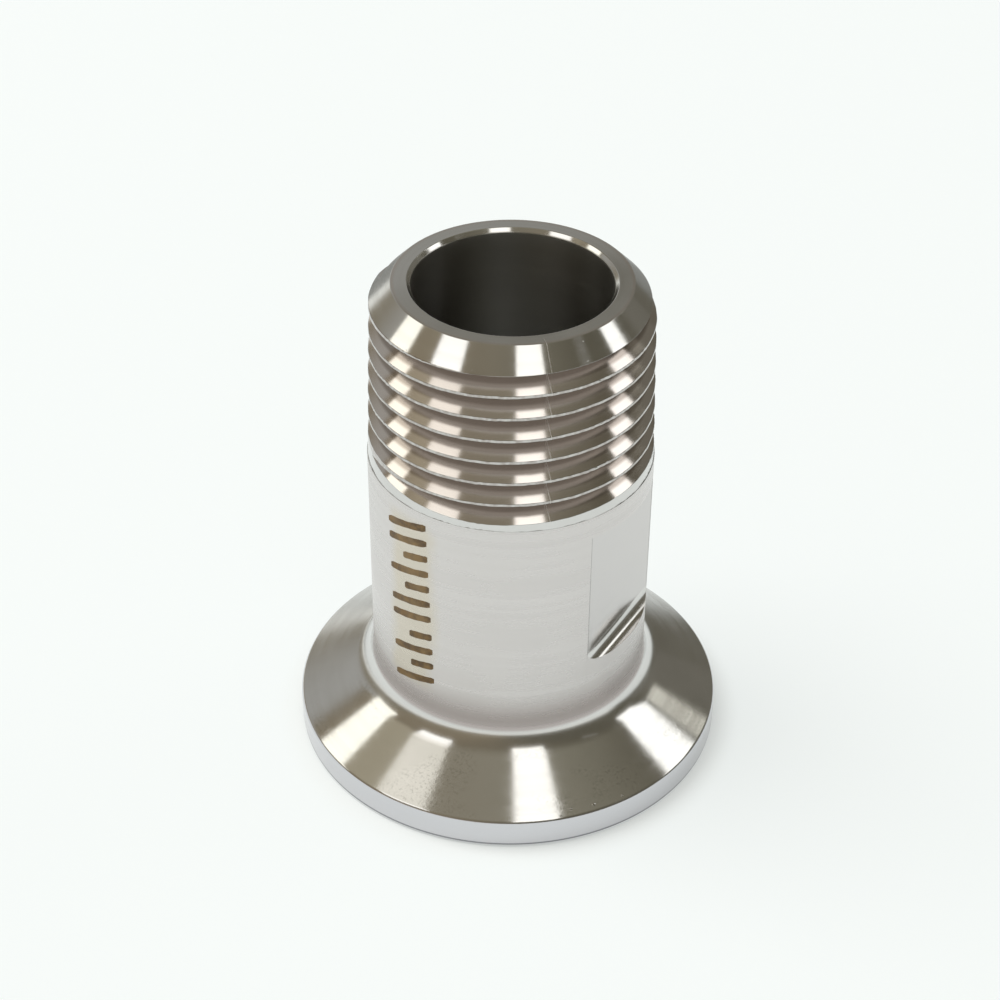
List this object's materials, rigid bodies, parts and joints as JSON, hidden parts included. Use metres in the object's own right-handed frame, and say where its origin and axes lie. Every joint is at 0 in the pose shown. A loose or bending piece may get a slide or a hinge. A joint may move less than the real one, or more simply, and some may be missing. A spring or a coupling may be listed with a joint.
{
  "type": "sanitary clamp threaded adapter",
  "caption": "Turned adapter: clamp flange with gasket groove and conical back, plain barrel with wrench flats, male taper pipe thread and through bore.",
  "frame": {"origin": "centre of the flange face, on the bore axis", "axes": "+Z along the bore axis from the flange face to the threaded nose; +X is the outward normal of one wrench flat and -X that of the other"},
  "size_m": [0.034, 0.034, 0.0405],
  "materials": {
    "turned_steel": "turned stainless steel, fine tool lines"
  },
  "bodies": {
    "root": {"adapter_body": "turned_steel"}
  },
  "joints": []
}
